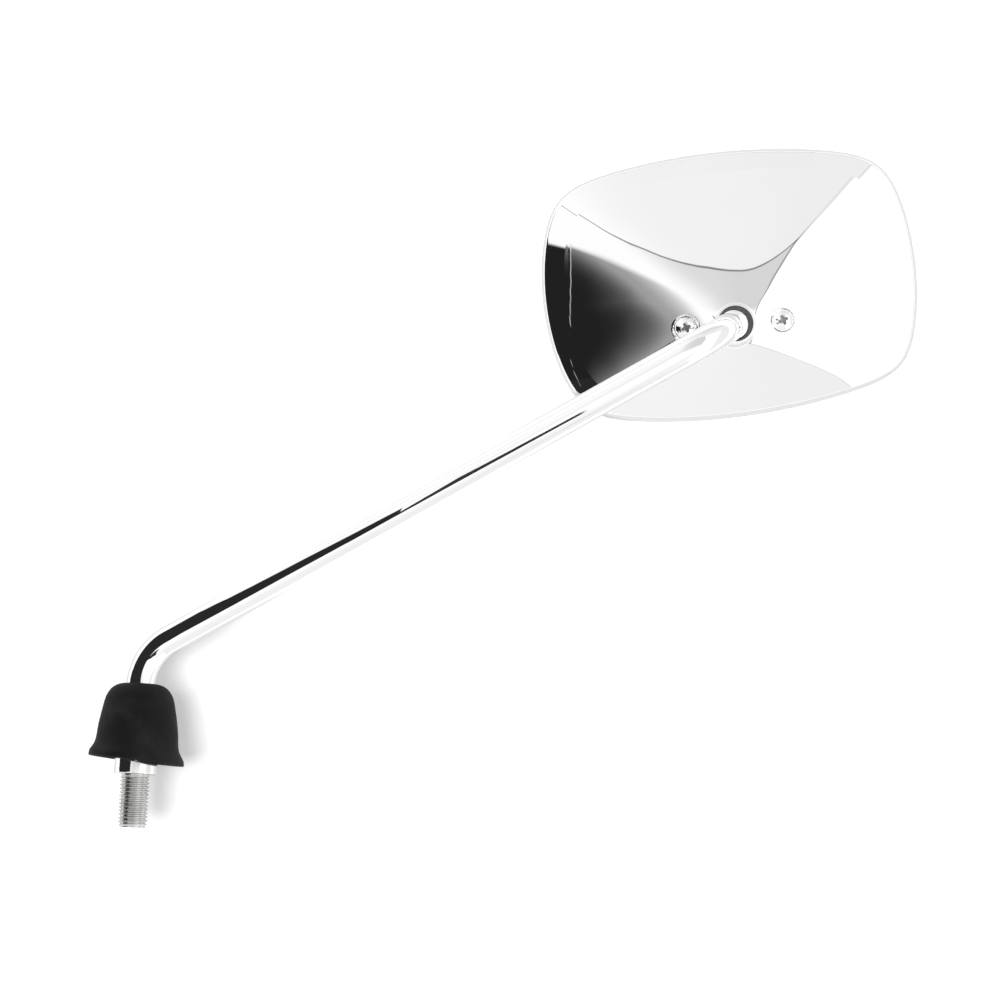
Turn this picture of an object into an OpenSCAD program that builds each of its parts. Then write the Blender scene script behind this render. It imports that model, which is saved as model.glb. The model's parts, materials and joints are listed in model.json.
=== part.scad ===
// Motorcycle mirror on a bent chrome stem, upright as it is screwed into its mount.
// +Z runs up the stud's axis, +X points outboard, and the stem leans towards -Y, away from the rider.
// The origin is on the stud's axis, in the flat face of the collar that sits on the mount.

/* [Stud adapter] */
// Major diameter of the stud's thread and of the thread inside the adapter
thread_d = 10; // [8:0.5:12]
// Length of the stud below the collar
stud_len = 18; // [12:1:30]
// Chamfer at the stud's tip
stud_chamfer = 1; // [0.5:0.1:1.5]
// Diameter of the round collar
collar_d = 14.6; // [14:0.2:16]
// Height of the round collar
collar_h = 6.5; // [5:0.5:8]
// Width across the flats of the adapter's hexagon and of the lock nut
hex_flats = 14; // [13.5:0.5:15]
// Height of the adapter's hexagon
adapter_hex_h = 8; // [6:0.5:9]
// Depth of the threaded hole in the adapter
socket_depth = 11; // [8:0.5:12]
// Height of the lock nut
nut_h = 5; // [4:0.5:6]

/* [Stem] */
// Diameter of the chrome rod
rod_d = 10; // [9.5:0.1:10.4]
// Height above the collar's face at which the lower bend starts
leg_h = 29.3; // [28:0.5:45]
// Centre-line radius of the lower bend
lower_bend_r = 19; // [15:1:30]
// Angle of the lower bend, from the vertical leg to the straight run
lower_bend = 60.4; // [45:0.5:75]
// Angle by which the run swings forward of the outboard axis
run_yaw = 14.2; // [0:0.5:30]
// Length of the straight run
run_len = 200; // [120:5:260]
// Centre-line radius of the upper bend
upper_bend_r = 16; // [14:1:22]
// Angle of the upper bend, from the run to the neck
upper_bend = 83.5; // [75:0.5:95]
// Direction of the upper bend, turned about the run
upper_turn = 104.8; // [95:0.5:115]
// Straight neck between the upper bend and the shoulder
neck_len = 1; // [0.5:0.5:10]
// Distance from the shoulder to the ball's centre
shoulder_gap = 14.5; // [14:0.5:20]
// Diameter of the turned-down shank that carries the ball
shank_d = 6; // [5:0.5:6.5]

/* [Ball joint] */
// Diameter of the pivot ball
ball_d = 15; // [14:0.5:16]
// Running clearance of each spherical face of the joint
ball_play = 0.1; // [0.05:0.01:0.15]
// Wall of the seat ring above the ball
ring_wall = 0.6; // [0.5:0.1:0.8]
// Diameter of the hole in the seat ring
ring_hole_d = 9.6; // [9:0.1:10]
// Wall of the cup liner below the ball
liner_wall = 1.2; // [0.8:0.1:1.6]
// Thickness of the pressed clamp plate
plate_t = 2; // [1.5:0.1:2.5]
// Distance between the two clamp screws
screw_pitch = 33; // [31:0.5:36]
// Diameter of the clamp screws' thread
screw_d = 4; // [3.5:0.1:4.5]
// Length of the clamp screws under the head
screw_len = 10; // [9:1:14]
// Diameter of the clamp screws' heads
screw_head_d = 7.8; // [7:0.1:8]
// Height of the clamp screws' heads
screw_head_h = 2.5; // [2:0.1:3]

/* [Head] */
// Lean of the head's back, from level to looking down
head_tilt = 7.4; // [0:0.5:15]
// Roll of the head about the axis through its ball
head_roll = 7.1; // [0:0.5:15]
// Reach of the head from the ball's axis to its top edge
reach_top = 61.1; // [55:0.5:65]
// Reach from the ball's axis to the bottom edge
reach_bottom = 31.1; // [30:0.5:36]
// Reach from the ball's axis to the inboard edge
reach_left = 63.6; // [58:0.5:68]
// Reach from the ball's axis to the outboard edge
reach_right = 66; // [60:0.5:70]
// Radius of the bowed top edge
bow_top = 218; // [200:1:260]
// Radius of the bowed bottom edge
bow_bottom = 224; // [200:1:260]
// Radius of the bowed inboard edge
bow_left = 90.1; // [85:0.1:110]
// Radius of the bowed outboard edge
bow_right = 101.7; // [90:0.1:120]
// How far the middle of the top edge lies outboard of the ball
shift_top = 6; // [0:0.5:10]
// How far the middle of the bottom edge lies inboard of the ball
shift_bottom = 9.1; // [5:0.1:12]
// How far the middle of the inboard edge lies above the ball
shift_left = 16.8; // [12:0.1:20]
// How far the middle of the outboard edge lies above the ball
shift_right = 14; // [10:0.1:18]
// Softness of the outline's four corners
corner_soft = 4.2; // [3.5:0.1:5]
// Height of the straight wall at the rim
wall_h = 5.8; // [5:0.1:6.5]
// Rise of the four facets from the edge band to their common peak
peak_rise = 30; // [28:0.5:32]
// Thickness of the shell
shell_wall = 1.2; // [1:0.1:1.6]
// Width of the edge band outside the crease
band_w = 7.5; // [6:0.5:9]
// Width of the rounded edge
roll_w = 1.5; // [1:0.25:2.5]

/* [Glass] */
// Thickness of the mirror glass
glass_t = 2.5; // [2:0.1:3]
// Radius of the convex glass
glass_r = 1200; // [1000:50:1500]
// Wall of the rubber gasket between shell and glass
gasket_wall = 1.6; // [1.2:0.1:2]
// Width of the gasket's lip over the front of the glass
gasket_lip = 1.4; // [1:0.1:2]
// Thickness of the foam pad behind the glass
pad_t = 3.5; // [2:0.25:4]
// Inset of the foam pad from the outline
pad_inset = 8; // [7:0.5:12]

/* [Boot] */
// Height of the boot's rim above the collar's face
boot_z = 4.4; // [3:0.2:6]
// Height of the boot
boot_h = 26.2; // [24:0.2:27]
// Radius of the boot's side just under its domed top
boot_top_r = 11.5; // [11:0.1:13]
// Radius of the boot's side just above its flare
boot_side_r = 13.95; // [13:0.1:15]
// Radius of the flared rim
boot_rim_r = 16.2; // [15.5:0.1:18]
// Rounding of the domed top
boot_round = 5; // [3:0.5:6]
// Height of the flare, with the straight lip below it
flare_h = 5.5; // [4:0.5:7]
// Wall of the rubber
boot_wall = 2; // [1.5:0.1:2.2]
// Slope of the rim, which ends higher on the inboard side
rim_skew = 4.6; // [0:0.2:6]

/* [Hidden] */
$fn = 96;

through = 0.01;             // overlap of one cut with the face it opens
lap = 0.05;                 // how far the straight lengths of the rod reach into its bends
thread_play = 0.05;         // radial play of the rod's thread in the adapter and the nut
chrome = "#d9dcde";
zinc = "#b9bcbc";
rubber = "#262626";
nylon = "#e8e6df";
foam = "#3a3a3a";
silver = "#cfd6da";

// Heights up the stud's axis
hex_top = collar_h + adapter_hex_h;
nut_top = hex_top + nut_h;
rod_foot = hex_top - socket_depth + 1;
thread_top = nut_top + 2;

// Profile of the boot: bowed side between the dome and the flare, and its straight lip
boot_top = boot_z + boot_h;
side_top = boot_top - boot_round;
side_foot = boot_z + flare_h;
side_bow = 0.35;
boot_bore = rod_d / 2 + 0.1;
crown_wall = boot_wall + 0.6;
skirt_foot = boot_z - boot_rim_r * tan(rim_skew) - 0.5;

// Radii about the ball's centre, from the inside out
ball_r = ball_d / 2;
seat_r = ball_r + ball_play;
ring_r = seat_r + ring_wall;
socket_r = ring_r + ball_play;
liner_r = seat_r + liner_wall;
cup_r = liner_r + ball_play;

// Heights along the head's axis, from the ball's centre
ring_top = sqrt(pow(seat_r, 2) - pow(ring_hole_d / 2, 2));
ring_foot = 2.5;
liner_top = -1;
collar_top = ring_top - 0.2;
lip_r = sqrt(pow(socket_r, 2) - pow(collar_top, 2)) + 0.8;

// Screw seats pressed into the shell
seat_pad_r = screw_head_d / 2 + 0.4;
seat_sink = 0.6;
seat_thick = 3;
seat_lip = 0.3;
pocket_room = 12;           // height of the cuts that open the seats upwards

// Pan heads: their domes and the cross in them
dome_r = 0.62 * screw_head_d;
slot_w = 0.16 * screw_head_d;
slot_half = 0.27 * screw_head_d;
slot_floor = 0.3 * screw_head_h;

// Clamp plate, drawn up by its screws to just under the seats, and the flat on the ball's top
clamp_gap = 0.2;
lug_r = 5;
ball_flat = 0.92 * ball_r;

// Glass and gasket, from the rim's plane
glass_gap = shell_wall + gasket_wall;
glass_front = 0.2;
glass_room = 12;
gasket_foot = 0.1;
lip_t = 0.8;
glass_mid = [(reach_right - reach_left) / 2, (reach_top - reach_bottom) / 2];

// Shape of the shell's outside
ridge_soft = 1.9;           // softness of the ridges between the facets, in height
peak_soft = 3.1;            // softness where the four ridges meet
peak_spread = 24;           // how far from the ball that extra softness reaches
crease_drop = 0.3;          // fall of the edge band below the facet's own line
roll_drop = 1.2;            // further fall over the rounded edge
// Each side of the outline: [outward direction, reach, radius of its bow, shift of its middle]
sides = [[90, reach_top, bow_top, -shift_top], [270, reach_bottom, bow_bottom, -shift_bottom],
    [180, reach_left, bow_left, -shift_left], [0, reach_right, bow_right, shift_right]];

spokes = 96;                // points round the head
crown_fractions = [0.86, 0.7, 0.55, 0.42, 0.31, 0.22, 0.14];
edge_gaps = [0, 0.3 * roll_w, 0.65 * roll_w, roll_w, band_w];

function swing_x(a, p) = [p.x, p.y * cos(a) - p.z * sin(a), p.y * sin(a) + p.z * cos(a)];
function swing_y(a, p) = [p.x * cos(a) + p.z * sin(a), p.y, p.z * cos(a) - p.x * sin(a)];
function swing_z(a, p) = [p.x * cos(a) - p.y * sin(a), p.x * sin(a) + p.y * cos(a), p.z];
function past_bend(r, a, p) = [r * (1 - cos(a)), 0, r * sin(a)] + swing_y(a, p);
function arc_points(c, r, a0, a1, steps) =
    [for (i = [0 : steps]) c + r * [cos(a0 + (a1 - a0) * i / steps), sin(a0 + (a1 - a0) * i / steps)]];
function boot_side(t) = [boot_side_r + (boot_top_r - boot_side_r) * t + 4 * side_bow * t * (1 - t),
    side_foot + (side_top - side_foot) * t];

// Place of the ball's centre at the end of the bent rod
upper_end = past_bend(upper_bend_r, upper_bend, [0, 0, neck_len + shoulder_gap]);
run_end = past_bend(lower_bend_r, lower_bend, [0, 0, run_len] + swing_z(upper_turn, upper_end));
ball_at = [0, 0, leg_h] + swing_z(-run_yaw, run_end);

// Way from the ball to the shoulder, first in the part's frame and then in the head's
neck_way = -swing_z(-run_yaw, swing_y(lower_bend, swing_z(upper_turn, swing_y(upper_bend, [0, 0, 1]))));
neck_seen = swing_z(-head_roll, swing_x(-90 - head_tilt, neck_way));
neck_side = atan2(neck_seen.y, neck_seen.x);
neck_lean = acos(neck_seen.z);

// Distance from a point in the head's plane to one bowed side, and the softened least of several
function side_gap(s, p) = let (out = [cos(s[0]), sin(s[0])], along = [-out.y, out.x])
    s[2] - norm(p - out * (s[1] - s[2]) - along * s[3]);
function soft_min(values, k) = -k * ln([for (v = values) exp(-v / k)] * [for (v = values) 1]);
function rim_gap(p) = soft_min([for (s = sides) side_gap(s, p)], corner_soft);
function softness(p) = ridge_soft + (peak_soft - ridge_soft) * exp(-pow(norm(p) / peak_spread, 2));
function facets(p) = soft_min([for (s = sides) side_gap(s, p) * peak_rise / s[1]], softness(p));
function crown(p) = let (g = rim_gap(p))
    wall_h + crease_drop * min(1, g / band_w) + roll_drop * (1 - pow(max(0, 1 - g / roll_w), 2))
    + facets(p);

// Distance along a spoke to the line that lies a given gap inside the outline
function spoke_reach(a, gap, low = lip_r, high = reach_top + reach_bottom, n = 24) = let (mid = (low + high) / 2)
    n == 0 ? mid : rim_gap(mid * [cos(a), sin(a)]) > gap ? spoke_reach(a, gap, mid, high, n - 1)
    : spoke_reach(a, gap, low, mid, n - 1);
function spoke_angle(i) = 360 * i / spokes;
function outline(gap) = [for (i = [0 : spokes - 1]) let (a = spoke_angle(i))
    spoke_reach(a, gap) * [cos(a), sin(a)]];

// The rim's plane lies this far below the ball's centre
peak_h = crown([0, 0]);
rim_z = collar_top - 0.3 - peak_h;
seat_z = rim_z + min(crown([-screw_pitch / 2, 0]), crown([screw_pitch / 2, 0])) - seat_sink;
flange_top = seat_z - seat_thick - clamp_gap;

// Rings of the shell's skin: outside from the rim inwards, then inside from the middle outwards
skin_drop = 1.15 * shell_wall;
edge_lines = [for (g = edge_gaps) outline(g)];
inner_gaps = [shell_wall, roll_w + 0.8, band_w + 0.8];
inner_lines = [for (g = inner_gaps) outline(g)];
function lifted(line, drop) = [for (p = line) [p.x, p.y, crown(p) - drop]];
function shrunk(line, f) = [for (p = line) f * p];
outer_rings = concat([for (line = [edge_lines[0]]) [for (p = line) [p.x, p.y, 0]]],
    [for (line = edge_lines) lifted(line, 0)],
    [for (f = crown_fractions) lifted(shrunk(edge_lines[4], f), 0)]);
inner_rings = concat([for (i = [len(crown_fractions) - 1 : -1 : 0])
        lifted(shrunk(inner_lines[2], crown_fractions[i]), skin_drop)],
    [for (i = [2 : -1 : 0]) lifted(inner_lines[i], skin_drop)],
    [for (line = [inner_lines[0]]) [for (p = line) [p.x, p.y, 0]]]);
skin_points = concat([for (ring = outer_rings) each ring], [for (ring = inner_rings) each ring],
    [[0, 0, peak_h], [0, 0, peak_h - skin_drop]]);
outer_count = len(outer_rings);
ring_count = outer_count + len(inner_rings);
function belt(low, high) = [for (i = [0 : spokes - 1]) let (j = (i + 1) % spokes)
    each [[low + i, high + j, low + j], [low + i, high + i, high + j]]];
function fan(ring, tip, up) = [for (i = [0 : spokes - 1]) let (j = (i + 1) % spokes)
    up ? [ring + i, tip, ring + j] : [ring + j, tip, ring + i]];
skin_faces = concat([for (r = [0 : ring_count - 1]) if (r != outer_count - 1)
        each belt(r * spokes, ((r + 1) % ring_count) * spokes)],
    fan((outer_count - 1) * spokes, ring_count * spokes, true),
    fan(outer_count * spokes, ring_count * spokes + 1, false));

module hexagon(flats, h) {
    cylinder(d = flats / cos(30), h = h, $fn = 6);
}

// A bend of the rod that starts upwards at the origin and turns towards +X
module rod_bend(r, a) {
    translate([r, 0, 0]) rotate([90, 0, 0]) rotate([0, 0, 180 - a])
        rotate_extrude(angle = a) translate([r, 0]) circle(d = rod_d - 2 * through);
}

module beyond_bend(r, a) {
    translate([r * (1 - cos(a)), 0, r * sin(a)]) rotate([0, a, 0]) children();
}

// Frame of the shoulder at the neck's end, +Z towards the ball
module at_shoulder() {
    translate([0, 0, leg_h]) rotate([0, 0, -run_yaw]) beyond_bend(lower_bend_r, lower_bend)
        translate([0, 0, run_len]) rotate([0, 0, upper_turn]) beyond_bend(upper_bend_r, upper_bend)
            translate([0, 0, neck_len]) children();
}

// Frame of the head at the ball's centre, +Z out of its back and +X along the line of its screws
module in_head() {
    translate(ball_at) rotate([90 + head_tilt, 0, 0]) rotate([0, 0, head_roll]) children();
}

module on_rim() {
    in_head() translate([0, 0, rim_z]) children();
}

module hollow_ball(outer, inner) {
    difference() {
        sphere(r = outer, $fn = 120);
        sphere(r = inner, $fn = 120);
    }
}

module stud_adapter() {
    color(zinc) difference() {
        union() {
            translate([0, 0, -stud_len]) cylinder(d1 = thread_d - 2 * stud_chamfer, d2 = thread_d, h = stud_chamfer);
            translate([0, 0, stud_chamfer - stud_len]) cylinder(d = thread_d, h = stud_len - stud_chamfer);
            cylinder(d = collar_d, h = collar_h);
            translate([0, 0, collar_h]) hexagon(hex_flats, adapter_hex_h);
        }
        translate([0, 0, hex_top - socket_depth]) cylinder(d = thread_d, h = socket_depth + through);
    }
}

module lock_nut() {
    color(zinc) translate([0, 0, hex_top]) difference() {
        hexagon(hex_flats, nut_h);
        translate([0, 0, -through]) cylinder(d = thread_d, h = nut_h + 2 * through);
    }
}

module stem() {
    color(chrome) union() {
        translate([0, 0, rod_foot]) cylinder(d = thread_d - 2 * thread_play, h = thread_top - rod_foot);
        translate([0, 0, thread_top]) cylinder(d = rod_d, h = leg_h - thread_top + lap);
        translate([0, 0, leg_h]) rotate([0, 0, -run_yaw]) {
            rod_bend(lower_bend_r, lower_bend);
            beyond_bend(lower_bend_r, lower_bend) {
                translate([0, 0, -lap]) cylinder(d = rod_d, h = run_len + 2 * lap);
                translate([0, 0, run_len]) rotate([0, 0, upper_turn]) rod_bend(upper_bend_r, upper_bend);
            }
        }
        at_shoulder() {
            translate([0, 0, -neck_len - lap]) cylinder(d = rod_d, h = neck_len + lap);
            cylinder(d = shank_d, h = shoulder_gap + ball_r / 2);
        }
    }
}

// Bell of moulded rubber that grips the rod above the lock nut
module boot() {
    outside = concat(arc_points([boot_top_r - boot_round, side_top], boot_round, 90, 0, 10),
        [for (t = [1 : -0.2 : 0]) if (t < 1) boot_side(t)],
        [[boot_side_r + (boot_rim_r - boot_side_r) * 0.35, boot_z + flare_h * 0.68]],
        [[boot_rim_r - 0.15, boot_z + flare_h * 0.44], [boot_rim_r, skirt_foot]]);
    inside = [[boot_rim_r - boot_wall, skirt_foot], [boot_side_r - boot_wall, boot_z + flare_h * 0.6],
        [boot_top_r - boot_wall, side_top], [boot_top_r - boot_wall - 1.5, boot_top - crown_wall]];
    color(rubber) difference() {
        rotate_extrude() polygon(concat([[boot_bore, boot_top]], outside, inside,
            [[boot_bore, boot_top - crown_wall]]));
        translate([0, 0, boot_z]) rotate([0, rim_skew, 0]) translate([-boot_h, -boot_h, -boot_h])
            cube([2 * boot_h, 2 * boot_h, boot_h]);
    }
}

module pivot_ball() {
    color(chrome) at_shoulder() translate([0, 0, shoulder_gap]) difference() {
        sphere(r = ball_r, $fn = 120);
        translate([0, 0, -ball_d]) cylinder(d = shank_d, h = ball_d + ball_r / 2);
        translate([-ball_r, -ball_r, ball_flat]) cube([ball_d, ball_d, ball_r]);
    }
}

// Loose ring between the ball and the shell, halfway between the head's axis and the leaning neck
module seat_ring() {
    color(rubber) in_head() rotate([0, 0, neck_side]) rotate([0, neck_lean / 2, 0]) intersection() {
        hollow_ball(ring_r, seat_r);
        difference() {
            translate([0, 0, ring_foot]) cylinder(r = ring_r + 1, h = ring_top - ring_foot);
            cylinder(d = ring_hole_d, h = ball_d);
        }
    }
}

module ball_liner() {
    color(nylon) in_head() intersection() {
        hollow_ball(liner_r, seat_r);
        translate([0, 0, -liner_r - 1]) difference() {
            cylinder(r = liner_r + 1, h = liner_r + 1 + liner_top);
            cylinder(d = ring_hole_d / 2, h = liner_r);
        }
    }
}

module clamp_plate() {
    half = screw_pitch / 2;
    color(zinc) in_head() difference() {
        union() {
            translate([-half, -cup_r, flange_top - plate_t]) cube([screw_pitch, 2 * cup_r, plate_t]);
            for (side = [-1, 1]) translate([side * half, 0, flange_top - plate_t])
                cylinder(r = lug_r, h = plate_t);
            intersection() {
                sphere(r = cup_r + plate_t, $fn = 120);
                translate([0, 0, -2 * cup_r]) cylinder(r = cup_r + plate_t, h = 2 * cup_r + flange_top);
            }
        }
        sphere(r = cup_r, $fn = 120);
        for (side = [-1, 1]) translate([side * half, 0, flange_top - plate_t - 1])
            cylinder(d = screw_d, h = plate_t + 2);
    }
}

// Cross-slotted pan head on a plain shank, seated on the shell's pad
module clamp_screw(side) {
    color(chrome) in_head() translate([side * screw_pitch / 2, 0, seat_z]) difference() {
        union() {
            intersection() {
                cylinder(d = screw_head_d, h = screw_head_h);
                translate([0, 0, screw_head_h - dome_r]) sphere(r = dome_r);
            }
            translate([0, 0, -screw_len]) cylinder(d = screw_d - 2 * thread_play, h = screw_len);
        }
        for (turn = [20, 110]) rotate([0, 0, turn]) translate([-slot_half, -slot_w / 2, slot_floor])
            cube([2 * slot_half, slot_w, screw_head_h]);
    }
}

module clamp_screw_left() {
    clamp_screw(-1);
}

module clamp_screw_right() {
    clamp_screw(1);
}

// Four bowed facets that meet in soft ridges at the ball opening, over a straight rim wall
module shell() {
    color(chrome) difference() {
        union() {
            on_rim() polyhedron(skin_points, skin_faces);
            in_head() translate([0, 0, collar_top - 2]) cylinder(r = lip_r, h = 2);
            in_head() for (side = [-1, 1]) translate([side * screw_pitch / 2, 0, seat_z - seat_thick])
                cylinder(r = seat_pad_r + 0.5, h = seat_thick + seat_lip);
        }
        in_head() {
            sphere(r = socket_r, $fn = 120);
            for (side = [-1, 1]) translate([side * screw_pitch / 2, 0, seat_z]) {
                cylinder(r = seat_pad_r, h = pocket_room);
                translate([0, 0, -pocket_room]) cylinder(d = screw_d + 0.5, h = 2 * pocket_room);
            }
        }
    }
}

module outline_plate(gap, low, high) {
    translate([0, 0, low]) linear_extrude(height = high - low) polygon(outline(gap));
}

// Space inside the ball of which the glass is a slice, counted in from its front face
module glass_ball(inset) {
    translate([glass_mid.x, glass_mid.y, glass_front + glass_r]) sphere(r = glass_r - inset, $fn = 360);
}

module mirror_glass() {
    color(silver) on_rim() intersection() {
        outline_plate(glass_gap, 0, glass_room);
        difference() {
            glass_ball(0);
            glass_ball(glass_t);
        }
    }
}

// Channel of rubber round the glass, with a lip over its front
module glass_gasket() {
    color(rubber) on_rim() difference() {
        outline_plate(shell_wall, gasket_foot, wall_h);
        outline_plate(glass_gap + gasket_lip, 0, glass_room);
        outline_plate(glass_gap, gasket_foot + lip_t, glass_room);
    }
}

module backing_pad() {
    color(foam) on_rim() intersection() {
        outline_plate(pad_inset, 0, glass_room);
        difference() {
            glass_ball(glass_t);
            glass_ball(glass_t + pad_t);
        }
    }
}

stud_adapter();
lock_nut();
stem();
boot();
pivot_ball();
seat_ring();
ball_liner();
clamp_plate();
clamp_screw_left();
clamp_screw_right();
shell();
glass_gasket();
backing_pad();
mirror_glass();
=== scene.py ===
import json
import math
import bpy
import numpy as np
from mathutils import Matrix, Vector


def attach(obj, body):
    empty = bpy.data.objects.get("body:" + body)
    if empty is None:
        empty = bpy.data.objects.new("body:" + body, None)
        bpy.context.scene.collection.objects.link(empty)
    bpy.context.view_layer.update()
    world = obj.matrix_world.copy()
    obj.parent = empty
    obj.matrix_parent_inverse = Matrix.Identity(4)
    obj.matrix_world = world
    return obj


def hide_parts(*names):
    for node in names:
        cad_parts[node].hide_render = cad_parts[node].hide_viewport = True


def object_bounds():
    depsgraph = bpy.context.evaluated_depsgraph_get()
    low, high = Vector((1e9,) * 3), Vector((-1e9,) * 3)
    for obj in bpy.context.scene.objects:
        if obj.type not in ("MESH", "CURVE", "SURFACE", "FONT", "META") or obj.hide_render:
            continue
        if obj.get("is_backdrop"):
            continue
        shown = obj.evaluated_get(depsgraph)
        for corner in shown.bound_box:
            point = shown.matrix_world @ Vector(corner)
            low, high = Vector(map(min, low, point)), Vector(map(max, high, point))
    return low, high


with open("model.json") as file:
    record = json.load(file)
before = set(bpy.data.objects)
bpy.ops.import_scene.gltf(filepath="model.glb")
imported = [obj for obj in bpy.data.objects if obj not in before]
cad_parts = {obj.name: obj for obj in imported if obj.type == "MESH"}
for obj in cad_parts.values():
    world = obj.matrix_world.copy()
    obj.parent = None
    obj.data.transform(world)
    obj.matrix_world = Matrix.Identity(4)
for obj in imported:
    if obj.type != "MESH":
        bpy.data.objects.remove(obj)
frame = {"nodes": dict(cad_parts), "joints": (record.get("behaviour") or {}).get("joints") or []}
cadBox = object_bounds()
scene = bpy.context.scene
mm = 0.001

joints = {j["name"]: j for j in frame["joints"]}
ballAt = np.array(joints["head_roll"]["pos_m"], float)
# the head's own axes: along its screws, towards its top edge, out of its back
headAxes = np.column_stack([joints[n]["axis"] for n in ("head_tip", "head_turn", "head_roll")])


def fromHead(points):
    return ballAt + np.asarray(points, float) * mm @ headAxes.T


def fromStud(points):
    return np.asarray(points, float) * mm


def addPiece(name, points, faces, material, sharpDeg=35):
    mesh = bpy.data.meshes.new(name)
    mesh.from_pydata(np.asarray(points).tolist(), [], faces)
    mesh.validate()
    mesh.update()
    piece = bpy.data.objects.new(name, mesh)
    scene.collection.objects.link(piece)
    finishMesh(mesh, material, sharpDeg)
    return piece


def faceOut(mesh):
    # a closed mesh whose faces look inwards has a negative volume
    mesh.calc_loop_triangles()
    corners = np.empty(len(mesh.loop_triangles) * 3, int)
    mesh.loop_triangles.foreach_get("vertices", corners)
    places = np.empty(len(mesh.vertices) * 3)
    mesh.vertices.foreach_get("co", places)
    a, b, c = (places.reshape(-1, 3)[corners.reshape(-1, 3)[:, i]] for i in range(3))
    if np.einsum("ij,ij->i", a, np.cross(b, c)).sum() < 0:
        mesh.flip_normals()


def finishMesh(mesh, material, sharpDeg=35):
    faceOut(mesh)
    mesh.materials.clear()
    mesh.materials.append(material)
    mesh.polygons.foreach_set("use_smooth", [True] * len(mesh.polygons))
    mesh.set_sharp_from_angle(angle=math.radians(sharpDeg))
    mesh.update()


def fullTurn(steps):
    return np.linspace(0, 2 * np.pi, steps, endpoint=False)


def ringRow(angles, radius, z):
    # one row of points once round the axis
    return np.stack([radius * np.cos(angles), radius * np.sin(angles), np.broadcast_to(z, angles.shape)], 1)


def gridFaces(rows, columns, closedRows=False):
    # quads between rows of points that each run once round
    faces = []
    for r in range(rows if closedRows else rows - 1):
        low, high = r * columns, (r + 1) % rows * columns
        for c in range(columns):
            d = (c + 1) % columns
            faces.append((low + c, low + d, high + d, high + c))
    return faces


def revolve(profile, steps=96, closed=True):
    # profile runs up the outside and down the bore, as (radius, height)
    rows = [ringRow(fullTurn(steps), r, z) for r, z in profile]
    return np.concatenate(rows), gridFaces(len(profile), steps, closedRows=closed)


def capped(profile, steps=96):
    # as revolve, but open rows that end on the axis in one point each
    points, faces = revolve(profile[1:-1], steps, closed=False)
    ends = np.array([[0, 0, profile[0][1]], [0, 0, profile[-1][1]]])
    low, high = len(points), len(points) + 1
    last = (len(profile) - 3) * steps
    for c in range(steps):
        d = (c + 1) % steps
        faces.append((low, d, c))
        faces.append((high, last + c, last + d))
    return np.concatenate([points, ends]), faces


def rounded(corners, cut=0.4, steps=4, closed=True):
    # corners as (x, y) or (x, y, own cut); each becomes a small arc
    out = []
    n = len(corners)
    for i, corner in enumerate(corners):
        here = np.array(corner[:2], float)
        if not closed and i in (0, n - 1):
            out.append(tuple(here))
            continue
        size = corner[2] if len(corner) > 2 else cut
        back, on = (np.array(corners[k % n][:2], float) - here for k in (i - 1, i + 1))
        backLong, onLong = np.linalg.norm(back), np.linalg.norm(on)
        reach = min(size, 0.49 * backLong, 0.49 * onLong)
        if reach < 1e-4:
            out.append(tuple(here))
            continue
        a = here + back / backLong * reach
        b = here + on / onLong * reach
        for t in np.linspace(0, 1, steps + 1):
            out.append(tuple((1 - t) ** 2 * a + 2 * t * (1 - t) * here + t * t * b))
    return out


def smoothStep(t):
    t = np.clip(t, 0, 1)
    return t * t * (3 - 2 * t)


def link(tree, value, socket):
    if isinstance(value, bpy.types.NodeSocket):
        tree.links.new(value, socket)
    else:
        socket.default_value = value


def calc(tree, operation, *values):
    node = tree.nodes.new("ShaderNodeMath")
    node.operation = operation
    for socket, value in zip(node.inputs, values):
        link(tree, value, socket)
    return node.outputs[0]


def sumsOf(tree):
    # short names for the sums that a long tree repeats
    def plus(*values):
        total = values[0]
        for value in values[1:]:
            total = calc(tree, "ADD", total, value)
        return total

    def minus(a, b):
        return calc(tree, "SUBTRACT", a, b)

    def times(a, b):
        return calc(tree, "MULTIPLY", a, b)

    return plus, minus, times


def spread(tree, value, low, high, outLow=0.0, outHigh=1.0, soft=True):
    node = tree.nodes.new("ShaderNodeMapRange")
    node.interpolation_type = "SMOOTHSTEP" if soft else "LINEAR"
    keys = ("Value", "From Min", "From Max", "To Min", "To Max")
    for key, v in zip(keys, (value, low, high, outLow, outHigh)):
        link(tree, v, node.inputs[key])
    return node.outputs["Result"]


def noise(tree, vector, scale, detail=3.0):
    node = tree.nodes.new("ShaderNodeTexNoise")
    node.inputs["Scale"].default_value = scale
    node.inputs["Detail"].default_value = detail
    link(tree, vector, node.inputs["Vector"])
    return node.outputs["Fac"]


def mixColour(tree, factor, a, b):
    node = tree.nodes.new("ShaderNodeMix")
    node.data_type = "RGBA"
    link(tree, factor, node.inputs[0])
    for socket, colour in ((node.inputs[6], a), (node.inputs[7], b)):
        link(tree, colour if isinstance(colour, bpy.types.NodeSocket) else (*colour, 1), socket)
    return node.outputs[2]


def grey(tone):
    return (tone, tone, tone)


def newMaterial(name, **constants):
    material = bpy.data.materials.new(name)
    material.use_nodes = True
    tree = material.node_tree
    shader = tree.nodes["Principled BSDF"]
    for key, value in constants.items():
        shader.inputs[key.replace("_", " ")].default_value = value
    place = tree.nodes.new("ShaderNodeTexCoord").outputs["Object"]
    return material, tree, shader, place


def addBump(tree, shader, height, strength, distance):
    bump = tree.nodes.new("ShaderNodeBump")
    bump.inputs["Strength"].default_value = strength
    bump.inputs["Distance"].default_value = distance
    tree.links.new(height, bump.inputs["Height"])
    tree.links.new(bump.outputs["Normal"], shader.inputs["Normal"])


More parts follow.
